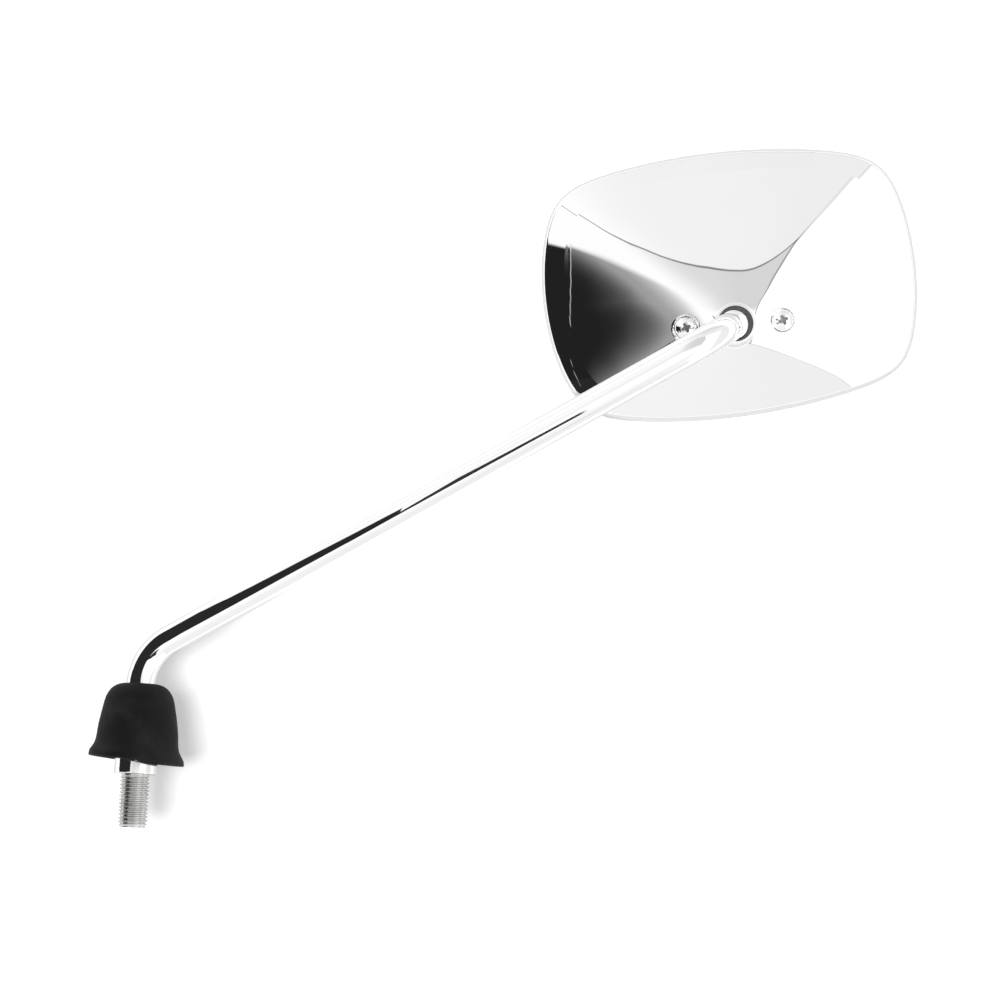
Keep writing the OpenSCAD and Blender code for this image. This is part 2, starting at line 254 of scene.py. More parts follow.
wearSet = {"filmDetail": 5, "filmMask": (0.45, 0.75), "scratchDetail": 2, "scratchMask": (0.62, 0.7),
           "scratchStretch": (1, 0.06, 0.3), "scratchTurn": (0.4, 0.9, 0.5)}


def surfaceWear(s):
    # shared: fine handling marks and a faint film, as masks that vary over a piece
    group = bpy.data.node_groups.new("handlingWear", "ShaderNodeTree")
    face = group.interface
    face.new_socket("Place", in_out="INPUT", socket_type="NodeSocketVector")
    for name in ("Film Scale", "Scratch Scale", "Amount"):
        face.new_socket(name, in_out="INPUT", socket_type="NodeSocketFloat")
    for name in ("Film", "Scratches"):
        face.new_socket(name, in_out="OUTPUT", socket_type="NodeSocketFloat")
    ins, outs = group.nodes.new("NodeGroupInput"), group.nodes.new("NodeGroupOutput")
    film = group.nodes.new("ShaderNodeTexNoise")
    film.inputs["Detail"].default_value = s["filmDetail"]
    group.links.new(ins.outputs["Place"], film.inputs["Vector"])
    group.links.new(ins.outputs["Film Scale"], film.inputs["Scale"])
    filmMask = spread(group, film.outputs["Fac"], *s["filmMask"])
    stretch = group.nodes.new("ShaderNodeMapping")
    stretch.inputs["Scale"].default_value = s["scratchStretch"]
    stretch.inputs["Rotation"].default_value = s["scratchTurn"]
    group.links.new(ins.outputs["Place"], stretch.inputs["Vector"])
    fine = group.nodes.new("ShaderNodeTexNoise")
    fine.inputs["Detail"].default_value = s["scratchDetail"]
    group.links.new(stretch.outputs["Vector"], fine.inputs["Vector"])
    group.links.new(ins.outputs["Scratch Scale"], fine.inputs["Scale"])
    fineMask = spread(group, fine.outputs["Fac"], *s["scratchMask"])
    group.links.new(calc(group, "MULTIPLY", filmMask, ins.outputs["Amount"]), outs.inputs["Film"])
    group.links.new(calc(group, "MULTIPLY", fineMask, ins.outputs["Amount"]), outs.inputs["Scratches"])
    return group


wearGroup = surfaceWear(wearSet)


def addWear(tree, place, **values):
    node = tree.nodes.new("ShaderNodeGroup")
    node.node_tree = wearGroup
    tree.links.new(place, node.inputs["Place"])
    for key, value in values.items():
        node.inputs[key.replace("_", " ")].default_value = value
    return node.outputs["Film"], node.outputs["Scratches"]


chromeSet = {"colour": (0.955, 0.955, 0.957), "dull": (0.935, 0.935, 0.937), "roughness": 0.02}


def chromeFinish(name, waviness, roughness=chromeSet["roughness"]):
    material, tree, shader, place = newMaterial(name, Metallic=1.0)
    film, scratches = addWear(tree, place, Film_Scale=45.0, Scratch_Scale=700.0, Amount=0.6)
    tree.links.new(mixColour(tree, film, chromeSet["colour"], chromeSet["dull"]), shader.inputs["Base Color"])
    filmed = calc(tree, "MULTIPLY_ADD", film, 0.015, roughness)
    scratched = calc(tree, "MULTIPLY", scratches, 0.02)
    tree.links.new(calc(tree, "ADD", filmed, scratched), shader.inputs["Roughness"])
    addBump(tree, shader, noise(tree, place, 55.0, 1.0), 1.0, waviness)
    return material


def rubberFinish(name, colour, dusty, roughness, shine=0.3):
    material, tree, shader, place = newMaterial(name, IOR=1.5, Specular_IOR_Level=shine)
    film = addWear(tree, place, Film_Scale=90.0, Scratch_Scale=500.0, Amount=0.7)[0]
    mottle = noise(tree, place, 260.0, 4.0)
    dust = calc(tree, "MULTIPLY", film, mottle)
    tree.links.new(mixColour(tree, dust, colour, dusty), shader.inputs["Base Color"])
    tree.links.new(calc(tree, "MULTIPLY_ADD", mottle, 0.2, roughness - 0.1), shader.inputs["Roughness"])
    coarse = calc(tree, "MULTIPLY", noise(tree, place, 350.0), 0.8)
    addBump(tree, shader, calc(tree, "ADD", noise(tree, place, 2400.0), coarse), 0.35, 0.00012)
    return material


def zincFinish(name, colour, dark, roughness):
    material, tree, shader, place = newMaterial(name, Metallic=1.0)
    film, scratches = addWear(tree, place, Film_Scale=160.0, Scratch_Scale=900.0, Amount=1.0)
    tree.links.new(mixColour(tree, film, colour, dark), shader.inputs["Base Color"])
    scratched = calc(tree, "MULTIPLY_ADD", scratches, 0.1, roughness)
    tree.links.new(calc(tree, "MULTIPLY_ADD", film, 0.12, scratched), shader.inputs["Roughness"])
    addBump(tree, shader, noise(tree, place, 1800.0), 0.3, 0.00003)
    return material


def plasticFinish(name, colour, worn, roughness):
    material, tree, shader, place = newMaterial(name, IOR=1.52)
    film, scratches = addWear(tree, place, Film_Scale=220.0, Scratch_Scale=1200.0, Amount=0.8)
    tree.links.new(mixColour(tree, film, colour, worn), shader.inputs["Base Color"])
    tree.links.new(calc(tree, "MULTIPLY_ADD", scratches, 0.15, roughness), shader.inputs["Roughness"])
    addBump(tree, shader, noise(tree, place, 1500.0, 4.0), 0.3, 0.00004)
    return material


headChrome = chromeFinish("headChrome", waviness=0.00002)
rodChrome = chromeFinish("rodChrome", waviness=0.00003, roughness=0.03)
screwChrome = chromeFinish("screwChrome", waviness=0.00001, roughness=0.06)
bootRubber = rubberFinish("bootRubber", grey(0.008), dusty=grey(0.03), roughness=0.62, shine=0.12)
sealRubber = rubberFinish("sealRubber", grey(0.016), dusty=grey(0.03), roughness=0.45)
foamBlack = rubberFinish("foamBlack", grey(0.04), dusty=grey(0.07), roughness=0.9)
# painted shade: the thread's zinc is a darker copy of the collar's, standing in for the shade between the thread's
# flanks; the tip, hexagon and nut take the same darker copy
threadZincPaintedShade = zincFinish("threadZincPaintedShade", (0.64, 0.64, 0.63), dark=(0.5, 0.5, 0.49), roughness=0.2)
collarZinc = zincFinish("collarZinc", (0.9, 0.9, 0.89), dark=(0.82, 0.82, 0.81), roughness=0.04)
# painted shade: a dark metal for the screws' cross recesses, standing in for their shade
slotPaintedShade = zincFinish("slotPaintedShade", grey(0.3), dark=grey(0.12), roughness=0.25)
plateZinc = zincFinish("plateZinc", (0.74, 0.74, 0.70), dark=(0.52, 0.51, 0.47), roughness=0.32)
ringNylon = plasticFinish("ringNylon", grey(0.05), worn=grey(0.09), roughness=0.3)
linerNylon = plasticFinish("linerNylon", (0.82, 0.80, 0.74), worn=(0.74, 0.71, 0.64), roughness=0.45)

glassSet = {"colour": (0.86, 0.885, 0.89), "dull": (0.82, 0.845, 0.85), "roughness": 0.004}


def silverFinish(s):
    material, tree, shader, place = newMaterial("silveredGlass", Metallic=1.0, Coat_Roughness=0.0, Coat_IOR=1.5)
    film, scratches = addWear(tree, place, Film_Scale=30.0, Scratch_Scale=400.0, Amount=0.5)
    tree.links.new(mixColour(tree, film, s["colour"], s["dull"]), shader.inputs["Base Color"])
    tree.links.new(calc(tree, "MULTIPLY_ADD", film, 0.02, s["roughness"]), shader.inputs["Roughness"])
    tree.links.new(calc(tree, "MULTIPLY_ADD", scratches, -0.3, 1.0), shader.inputs["Coat Weight"])
    return material


silveredGlass = silverFinish(glassSet)
print("finishes ready")

# stem: one rod swept through its two bends
stemSet = {"rodR": 5.0, "foot": 4.5, "legTop": 29.3, "lowerR": 19.0, "lowerBend": 60.4, "yaw": 14.2,
           "run": 200.0, "upperR": 16.0, "upperBend": 83.5, "upperTurn": 104.8, "neck": 1.0,
           "shoulderGap": 14.5, "shoulderStep": 0.02, "shankR": 3.0, "shankFillet": 0.35, "shankEnd": 3.75,
           "bendStep": 1.5, "chamfer": 0.5, "sides": 96}


def turnY(a):
    c, s = math.cos(math.radians(a)), math.sin(math.radians(a))
    return np.array([[c, 0, s], [0, 1, 0], [-s, 0, c]])


def turnZ(a):
    c, s = math.cos(math.radians(a)), math.sin(math.radians(a))
    return np.array([[c, -s, 0], [s, c, 0], [0, 0, 1]])


def stemPath(s):
    # walks the centre line as a moving frame and lists (point, radius)
    at, turn = np.array([0, 0, s["foot"]]), np.eye(3)
    stations = [(at, s["rodR"])]

    def straight(length, radius, step=None):
        nonlocal at
        count = max(1, int(length / step)) if step else 1
        for _ in range(count):
            at = at + turn @ [0, 0, length / count]
            stations.append((at, radius))

    def bend(radius, angle):
        nonlocal at, turn
        base, turned = at, turn
        count = int(angle / s["bendStep"])
        for i in range(1, count + 1):
            a = math.radians(angle * i / count)
            at = base + turned @ [radius * (1 - math.cos(a)), 0, radius * math.sin(a)]
            stations.append((at, s["rodR"]))
        turn = turned @ turnY(angle)

    straight(s["legTop"] - s["foot"], s["rodR"], 2)
    turn = turn @ turnZ(-s["yaw"])
    bend(s["lowerR"], s["lowerBend"])
    straight(s["run"], s["rodR"], 4)
    turn = turn @ turnZ(s["upperTurn"])
    bend(s["upperR"], s["upperBend"])
    straight(s["neck"] - s["chamfer"], s["rodR"])
    straight(s["chamfer"], s["rodR"] - s["chamfer"])
    straight(s["shoulderStep"], s["shankR"] + s["shankFillet"])
    straight(s["shankFillet"], s["shankR"])
    left = s["shoulderGap"] - s["shoulderStep"] - s["shankFillet"]
    straight(left + s["shankEnd"], s["shankR"], 1)
    return stations


def geometryTree(name, floats=(), wholes=()):
    # a tree with a geometry input and output, and further inputs by name
    tree = bpy.data.node_groups.new(name, "GeometryNodeTree")
    face = tree.interface
    face.new_socket("Geometry", in_out="INPUT", socket_type="NodeSocketGeometry")
    keys = {}
    for kind, names in (("NodeSocketFloat", floats), ("NodeSocketInt", wholes)):
        for key in names:
            keys[key] = face.new_socket(key, in_out="INPUT", socket_type=kind).identifier
    face.new_socket("Geometry", in_out="OUTPUT", socket_type="NodeSocketGeometry")
    return tree, keys, tree.nodes.new("NodeGroupInput").outputs, tree.nodes.new("NodeGroupOutput")


def endTree(tree, outs, material, *chain):
    # the last nodes in a row, then real geometry with its material
    realize = tree.nodes.new("GeometryNodeRealizeInstances")
    dress = tree.nodes.new("GeometryNodeSetMaterial")
    dress.inputs["Material"].default_value = material
    chain = (*chain, realize, dress, outs)
    for a, b in zip(chain, chain[1:]):
        tree.links.new(a.outputs[0], b.inputs[0])


def runTree(name, data, tree, keys, values, material, sharpDeg=35):
    # the tree's result as an ordinary mesh, without its modifier
    holder = bpy.data.objects.new(name, data)
    scene.collection.objects.link(holder)
    modifier = holder.modifiers.new(name, "NODES")
    modifier.node_group = tree
    for key, value in values.items():
        modifier[keys[key]] = value
    bpy.context.view_layer.update()
    evaluated = holder.evaluated_get(bpy.context.evaluated_depsgraph_get())
    mesh = bpy.data.meshes.new_from_object(evaluated)
    bpy.data.objects.remove(holder)
    mesh.name = name
    piece = bpy.data.objects.new(name, mesh)
    scene.collection.objects.link(piece)
    finishMesh(mesh, material, sharpDeg)
    return piece


def sweptRod(name, stations, sides, material):
    curve = bpy.data.curves.new(name + "Path", "CURVE")
    curve.dimensions = "3D"
    spline = curve.splines.new("POLY")
    spline.points.add(len(stations) - 1)
    for point, (at, radius) in zip(spline.points, stations):
        point.co = (*(at * mm), 1)
        point.radius = radius * mm
    tree, keys, ins, outs = geometryTree(name + "Sweep", wholes=["Sides"])
    circle = tree.nodes.new("GeometryNodeCurvePrimitiveCircle")
    circle.inputs["Radius"].default_value = 1.0
    sweep = tree.nodes.new("GeometryNodeCurveToMesh")
    sweep.inputs["Fill Caps"].default_value = True
    tree.links.new(ins["Sides"], circle.inputs["Resolution"])
    tree.links.new(ins["Geometry"], sweep.inputs["Curve"])
    tree.links.new(circle.outputs["Curve"], sweep.inputs["Profile Curve"])
    if "Scale" in sweep.inputs:
        thickness = tree.nodes.new("GeometryNodeInputRadius")
        tree.links.new(thickness.outputs["Radius"], sweep.inputs["Scale"])
    endTree(tree, outs, material, sweep)
    return runTree(name, curve, tree, keys, {"Sides": sides}, material)


stemRod = sweptRod("stemRod", stemPath(stemSet), stemSet["sides"], rodChrome)
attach(stemRod, "arm")
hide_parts("stem")
print("stem swept", len(stemRod.data.polygons))

# stud adapter: rolled thread, round collar, hexagon
studSet = {"length": 18.0, "majorR": 5.0, "pitch": 1.25, "depth": 0.72, "runOut": 1.6, "lead": 1.6,
           "grooveFrom": 0.12, "grooveTo": 0.86, "runOutFrom": 0.2, "runOutDrop": 0.35, "around": 72, "rowsPerMm": 18,
           "tip": [(0, 0), (1.6, 0), (3.4, 0.02), (4.1, 0.15), (4.28, 0.4), (4.1, 0.7), (0, 0.7)],
           "collarR": 7.3, "collarH": 6.5, "neckR": 4.35, "stepR": 6.4, "stepH": 1.5,
           "hexFlats": 14.0, "hexH": 8.0, "nutH": 5.0, "nutGap": 0.03}
hexSet = {"cornerShare": 1.06, "chamfer": 0.5, "sink": 0.6, "around": 144}


def threadTree(s):
    # a flat grid rolled into a cylinder and pushed in along a helix
    tree, keys, ins, outs = geometryTree("rolledThread", ["Radius", "Depth", "Pitch", "Length", "Run Out", "Lead"],
                                         ["Around", "Rows"])
    plus, minus, times = sumsOf(tree)
    nodes, links = tree.nodes, tree.links
    grid = nodes.new("GeometryNodeMeshGrid")
    links.new(ins["Around"], grid.inputs["Vertices X"])
    links.new(ins["Rows"], grid.inputs["Vertices Y"])
    split = nodes.new("ShaderNodeSeparateXYZ")
    links.new(nodes.new("GeometryNodeInputPosition").outputs[0], split.inputs[0])
    turn = plus(split.outputs[0], 0.5)
    down = times(plus(split.outputs[1], 0.5), ins["Length"])
    phase = calc(tree, "FRACT", plus(calc(tree, "DIVIDE", down, ins["Pitch"]), turn))
    flank = calc(tree, "ABSOLUTE", minus(times(phase, 2.0), 1.0))
    groove = spread(tree, flank, s["grooveFrom"], s["grooveTo"])
    fadeTop = spread(tree, down, s["runOutFrom"], ins["Run Out"])
    fadeTip = spread(tree, minus(ins["Length"], down), 0.0, ins["Lead"])
    crest = minus(ins["Radius"], times(minus(1.0, fadeTip), ins["Depth"]))
    top = minus(crest, times(minus(1.0, fadeTop), s["runOutDrop"]))
    radius = minus(top, times(times(groove, ins["Depth"]), times(fadeTip, fadeTop)))
    angle = times(turn, 2 * math.pi)
    place = nodes.new("ShaderNodeCombineXYZ")
    links.new(times(radius, calc(tree, "COSINE", angle)), place.inputs[0])
    links.new(times(radius, calc(tree, "SINE", angle)), place.inputs[1])
    links.new(times(down, -1.0), place.inputs[2])
    move = nodes.new("GeometryNodeSetPosition")
    links.new(grid.outputs["Mesh"], move.inputs["Geometry"])
    links.new(place.outputs[0], move.inputs["Position"])
    scale = nodes.new("GeometryNodeTransform")
    scale.inputs["Scale"].default_value = (mm, mm, mm)
    weld = nodes.new("GeometryNodeMergeByDistance")
    weld.inputs["Distance"].default_value = 2e-6
    endTree(tree, outs, threadZincPaintedShade, move, scale, weld)
    return tree, keys


def makeStud(s):
    tree, keys = threadTree(s)
    values = {"Radius": s["majorR"], "Depth": s["depth"], "Pitch": s["pitch"], "Length": s["length"],
              "Run Out": s["runOut"], "Lead": s["lead"], "Around": s["around"] + 1,
              "Rows": int(s["length"] * s["rowsPerMm"])}
    return runTree("studThread", bpy.data.meshes.new("studThread"), tree, keys, values, threadZincPaintedShade, 110)


studThread = makeStud(studSet)
tip = [(r, up - studSet["length"]) for r, up in studSet["tip"]]
points, faces = capped(tip, studSet["around"])
tipEnd = addPiece("studTip", fromStud(points), faces, threadZincPaintedShade)


def hexRadius(angles, flats):
    folded = (angles + math.pi / 6) % (math.pi / 3) - math.pi / 6
    return flats / 2 / np.cos(folded)


def makeCollar(s):
    r, top, neck, step = s["collarR"], s["collarH"], s["neckR"], s["stepR"]
    end = top + s["stepH"]
    corners = [(neck, 0.02), (r, 0.0, 0.45), (r, top, 0.5), (step, top, 0.2), (step, end), (neck, end)]
    return revolve(rounded(corners, 0.1, 5))


points, faces = makeCollar(studSet)
collar = addPiece("studCollar", fromStud(points), faces, collarZinc)


def makeHex(flats, low, high, bore, s):
    # chamfered hexagon with a threaded-size bore
    angles = fullTurn(s["around"])
    hexR = hexRadius(angles, flats)
    cutR = np.minimum(hexR, flats / 2 * s["cornerShare"])
    profile = [(cutR, low), (hexR, low + s["chamfer"]), (hexR, high - s["chamfer"]), (cutR, high),
               (bore + s["sink"], high), (bore, high - s["sink"]), (bore, low)]
    rows = [ringRow(angles, r, z) for r, z in profile]
    return np.concatenate(rows), gridFaces(len(rows), s["around"], closedRows=True)


hexTop = studSet["collarH"] + studSet["hexH"]
points, faces = makeHex(studSet["hexFlats"], studSet["collarH"], hexTop, studSet["majorR"], hexSet)
adapterHex = addPiece("adapterHex", fromStud(points), faces, threadZincPaintedShade, 25)
for piece in (studThread, tipEnd, collar, adapterHex):
    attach(piece, "base")
    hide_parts("stud_adapter")
nutFoot, nutTop = hexTop + studSet["nutGap"], hexTop + studSet["nutH"]
points, faces = makeHex(studSet["hexFlats"], nutFoot, nutTop, studSet["majorR"], hexSet)
jamNut = addPiece("jamNut", fromStud(points), faces, threadZincPaintedShade, 25)
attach(jamNut, "arm")
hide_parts("lock_nut")
print("stud adapter and nut made")

# boot: moulded bell with a soft dome and a rolled lip
bootSet = {"rim": 4.4, "top": 30.6, "bore": 5.05, "steps": 144, "cut": 0.8, "rimSkew": 4.6, "skewTop": 14.0,
           "skewFull": 9.6, "wave": 0.05, "waveFrom": 6.0, "waveOver": 4.0, "rimR": 16.2, "rimBore": 14.2,
           "outside": [(5.4, 16.15), (6.4, 15.95), (7.1, 15.5), (7.9, 15.0), (8.9, 14.42), (10.2, 14.05),
                       (11.5, 13.88), (12.9, 13.78), (15.6, 13.5), (18.3, 13.08), (21.0, 12.55), (23.7, 12.0),
                       (25.2, 11.65), (26.5, 11.2), (27.6, 10.6), (28.6, 9.85), (29.4, 9.0), (30.0, 8.0),
                       (30.4, 6.9), (30.6, 5.9)],
           "boreFoot": 28.2, "inside": [(27.6, 8.0), (25.6, 9.4), (7.8, 11.9)]}


def makeBoot(s):
    # heights with radii, up the outside from the rim and down the inside
    heights = [(s["rim"], s["rimR"]), *s["outside"], (s["top"] - 0.15, s["bore"]), (s["boreFoot"], s["bore"]),
               *s["inside"], (s["rim"] + 0.1, s["rimBore"])]
    points, faces = revolve(rounded([(r, z) for z, r in heights], s["cut"], 3), s["steps"])
    # a slight wave round the wall, and the lip tilted with its rim
    angles, far = np.arctan2(points[:, 1], points[:, 0]), np.hypot(points[:, 0], points[:, 1])
    swell = s["wave"] * (np.sin(2 * angles + 0.6) + 0.5 * np.sin(5 * angles + points[:, 2] * 0.3))
    swell *= smoothStep((far - s["waveFrom"]) / s["waveOver"])
    points[:, :2] *= (1 + swell / np.maximum(far, 1))[:, None]
    tilted = smoothStep((s["skewTop"] - points[:, 2]) / (s["skewTop"] - s["skewFull"]))
    points[:, 2] -= points[:, 0] * math.tan(math.radians(s["rimSkew"])) * tilted
    return points, faces


points, faces = makeBoot(bootSet)
rubberBoot = addPiece("rubberBoot", fromStud(points), faces, bootRubber, 60)
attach(rubberBoot, "arm")
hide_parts("boot")
print("boot made")

# head shell: four bowed facets over a rolled rim
headSet = {"top": 61.1, "bottom": 31.1, "left": 63.6, "right": 66.0, "cornerSoft": 4.2, "wall": 5.8, "rise": 30.0,
           "thick": 1.2, "band": 7.5, "roll": 1.5, "creaseDrop": 0.3, "rollDrop": 1.2, "ridgeSoft": 1.9,
           "peakSoft": 3.1, "peakSpread": 24.0, "rimZ": -26.5331, "lipR": 6.84, "openR": 6.04, "lipTop": 5.692,
           "socketR": 8.3, "screwX": 16.5, "seatZ": 0.6966, "seatR": 3.92, "seatBlend": 0.42, "around": 384,
           "skin": 1.38, "innerBand": 8.3, "innerShares": (0.8, 0.6, 0.45, 0.32, 0.22), "footGap": 0.25,
           "beadHigh": 0.028, "beadWide": 0.17,
           "bead": [(147, 8.6), (153, 9.6), (159, 9.8), (166, 9.1), (174, 7.7), (179, 6.2), (184, 4.7),
                    (190, 3.8), (198, 3.0)]}
h = headSet
# each side's turn, reach, bow radius and shift along itself
sides = [(90, h["top"], 218.0, -6.0), (270, h["bottom"], 224.0, -9.1),
         (180, h["left"], 90.1, -16.8), (0, h["right"], 101.7, 14.0)]


def sideGap(side, p):
    turn, reach, bow, shift = side
    out = np.array([math.cos(math.radians(turn)), math.sin(math.radians(turn))])
    along = np.array([-out[1], out[0]])
    return bow - np.linalg.norm(p - out * (reach - bow) - along * shift, axis=-1)


def softMin(values, k):
    values = np.array(values)
    least = values.min(0)
    return least - k * np.log(np.exp(-(values - least) / k).sum(0))


def rimGap(p):
    return softMin([sideGap(s, p) for s in sides], h["cornerSoft"])


def crown(p, gap):
    nearPeak = np.exp(-(np.linalg.norm(p, axis=-1) / h["peakSpread"]) ** 2)
    soft = h["ridgeSoft"] + (h["peakSoft"] - h["ridgeSoft"]) * nearPeak
    facets = softMin([sideGap(s, p) * h["rise"] / s[1] for s in sides], soft)
    crease = h["creaseDrop"] * np.minimum(1, gap / h["band"])
    roll = h["rollDrop"] * (1 - np.maximum(0, 1 - gap / h["roll"]) ** 2)
    return h["wall"] + crease + roll + facets


def reachAt(directions, gap):
    # how far out each direction comes within gap of the edge, by halving
    low, high = np.full(len(directions), 5.0), np.full(len(directions), 95.0)
    for _ in range(40):
        mid = (low + high) / 2
        inside = rimGap(directions * mid[:, None]) > gap
        low, high = np.where(inside, mid, low), np.where(inside, high, mid)
    return low


def creaseBead(p, gap):
    # a fine pressed line by the crease of the inboard side, not quite straight
    turn = np.degrees(np.arctan2(p[:, 1], p[:, 0])) % 360
    places, gaps = zip(*h["bead"])
    middle = np.interp(turn, places, gaps) + 0.08 * np.sin(turn * 1.3 + 1) + 0.04 * np.sin(turn * 3.4)
    shape = np.exp(-((gap - middle) / h["beadWide"]) ** 2)
    return h["beadHigh"] * shape * smoothStep((turn - places[0]) / 2) * smoothStep((places[-1] - turn) / 2)


def outsideHeight(p):
    gap = rimGap(p)
    z = h["rimZ"] + crown(p, gap) + creaseBead(p, gap)
    for side in (-1, 1):
        away = np.linalg.norm(p - np.array([side * h["screwX"], 0]), axis=-1)
        z = z + (h["seatZ"] - z) * smoothStep((h["seatR"] + h["seatBlend"] - away) / h["seatBlend"])
    return z


def makeShell():
    angles = fullTurn(h["around"])
    spokes = np.stack([np.cos(angles), np.sin(angles)], 1)
    rows = []

    def addRow(radius, z):
        flat = spokes * np.broadcast_to(radius, angles.shape)[:, None]
        rows.append(np.column_stack([flat, np.broadcast_to(z, angles.shape)]))

    def rowAt(radius, drop=0.0):
        flat = spokes * np.broadcast_to(radius, angles.shape)[:, None]
        addRow(radius, outsideHeight(flat) - drop)

    # inside skin from the rim to the socket
    rimZ, lipTop, lipR, openR = h["rimZ"], h["lipTop"], h["lipR"], h["openR"]
    addRow(reachAt(spokes, h["thick"]), rimZ)
    for gap in (h["thick"], 2.3, h["innerBand"]):
        rowAt(reachAt(spokes, gap), h["skin"])
    innerBand = reachAt(spokes, h["innerBand"])
    for share in h["innerShares"]:
        rowAt(innerBand * share, h["skin"])
    for z in np.linspace(1.5, lipTop - 0.02, 6):
        addRow(math.sqrt(h["socketR"] ** 2 - z ** 2), z)

    # the socket's lip, and its foot on the facets
    corners = [(openR, lipTop - 0.02), (openR + 0.02, lipTop, 0.12), (lipR, lipTop, 0.3), (lipR, lipTop - 1.2)]
    for r, z in rounded(corners, 0.2, 4, closed=False)[1:-1]:
        addRow(r, z)
    foot = lipR + 0.05
    crownAt = foot + h["footGap"]
    crownFoot = outsideHeight(spokes * crownAt)
    for t in (0.35, 0.7, 0.92):
        addRow(foot, (1 - t) * (lipTop - 0.3) + t * crownFoot)

    # the facets, then the band and the rolled edge, closer together where they curve
    bandReach = reachAt(spokes, h["band"] + 2.9)
    for share in (0.0, 0.004, *np.linspace(0.012, 1, 118)):
        rowAt(crownAt + (bandReach - crownAt) * share)
    for gap in (*np.arange(10.3, 2.7, -0.1), *np.linspace(2.55, 1.8, 5), *np.linspace(1.65, 0.6, 12),
                *np.linspace(0.5, 0.05, 7)):
        rowAt(reachAt(spokes, gap))

    # the straight wall down to the rim
    edge = reachAt(spokes, 0.0)
    top = outsideHeight(spokes * edge[:, None])
    wallFoot = rimZ + 0.35
    for t in (0.0, 0.3, 0.6, 0.9):
        addRow(edge, wallFoot + (top - wallFoot) * (1 - t))
    addRow(reachAt(spokes, 0.1), rimZ + 0.1)
    addRow(reachAt(spokes, 0.35), rimZ)
    return np.concatenate(rows), gridFaces(len(rows), h["around"], closedRows=True)


points, faces = makeShell()
headShell = addPiece("headShell", fromHead(points), faces, headChrome, 75)
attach(headShell, "head")
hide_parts("shell")
print("shell made", len(faces))

# clamp screws: domed heads with a cross
screwSet = {"headR": 3.9, "headH": 2.5, "domeR": 4.7, "edge": 0.35, "shankR": 1.95, "length": 10.0, "pointR": 1.4,
            "slotHalf": 1.65, "slotWidth": 0.42, "slotFlare": 0.25, "slotDeep": 1.5, "turn": 20, "around": 144}


def makeScrew(s, side):
    angles = fullTurn(s["around"])
    flatR, shankR, half = s["headR"] - s["edge"], s["shankR"], s["slotHalf"]
    rows = []
    for r in (0.03, *np.linspace(0.12, flatR, 34), *(flatR + s["edge"] * np.sin(np.linspace(0.15, math.pi / 2, 8)))):
        dome = s["headH"] - s["domeR"] + math.sqrt(max(s["domeR"] ** 2 - r * r, 0))
        edge = max(0, (r - flatR) / s["edge"])
        height = dome - 0.5 * (1 - math.sqrt(max(0, 1 - edge * edge)))
        turned = angles - math.radians(s["turn"])
        x, y = r * np.cos(turned), r * np.sin(turned)
        wing = np.zeros(s["around"])
        for along, across in ((x, y), (y, x)):
            width = s["slotWidth"] + s["slotFlare"] * (1 - np.abs(along) / half)
            arm = smoothStep((width - np.abs(across)) / 0.14) * smoothStep((half - np.abs(along)) / 0.25)
            wing = np.maximum(wing, arm)
        rows.append(ringRow(angles, r, height - wing * s["slotDeep"] * (1 - 0.45 * min(1, r / half))))
    below = [(s["headR"], 0.6), (s["headR"], 0.15), (s["headR"] - 0.15, 0.0), (shankR + 0.1, 0.0), (shankR, -0.3),
             (shankR, 0.6 - s["length"]), (s["pointR"], -s["length"])]
    rows += [ringRow(angles, r, z) for r, z in below]
    faces = [face[::-1] for face in gridFaces(len(rows), s["around"])]
    count = len(rows) * s["around"]
    faces.append(tuple(range(s["around"])))
    faces.append(tuple(range(count - 1, count - s["around"] - 1, -1)))
    return fromHead(np.concatenate(rows) + [side * h["screwX"], 0, h["seatZ"]]), faces


def paintSlotShade(mesh, s):
    # painted shade: faces well below the dome in the cross take the second material, a darker metal that stands in for
    # the shade in the recess
    for face in mesh.polygons:
        x, y, z = headAxes.T @ (np.array(face.center) - ballAt) / mm
        r = math.hypot(abs(x) - h["screwX"], y)
        dome = h["seatZ"] + s["headH"] - s["domeR"] + math.sqrt(s["domeR"] ** 2 - min(r, s["headR"]) ** 2)
        if r < s["slotHalf"] + 0.1 and h["seatZ"] + 0.3 < z < dome - 0.55:
            face.material_index = 1


for side, name, node in ((-1, "crossScrewLeft", "clamp_screw_left"),
                         (1, "crossScrewRight", "clamp_screw_right")):
    points, faces = makeScrew(screwSet, side)
    screw = addPiece(name, points, faces, screwChrome, 30)
    # the second material paints shade into the cross
    screw.data.materials.append(slotPaintedShade)
    paintSlotShade(screw.data, screwSet)
    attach(screw, "head")
    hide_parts(node)
print("screws made")

# ball joint: a ball with a flat foot, and a loose ring over it
jointSet = {"ballR": 7.5, "flat": 6.9, "seatR": 7.6, "ringR": 8.2, "ringTop": 5.745, "ringFoot": 2.5, "ringRows": 14,
            "shank": 3.0, "around": 128}


def frameAlong(direction):
    # right-handed axes with +Z along direction
    z = np.array(direction, float) / np.linalg.norm(direction)
    x = np.cross([0, 0, 1.0], z)
    x /= np.linalg.norm(x)
    return np.column_stack([x, np.cross(z, x), z])


shoulder, tail = (at for at, radius in stemPath(stemSet)[-2:])
neckWay = (shoulder - tail) / np.linalg.norm(shoulder - tail)      # from the ball to the shoulder
neckAxes = frameAlong(neckWay)


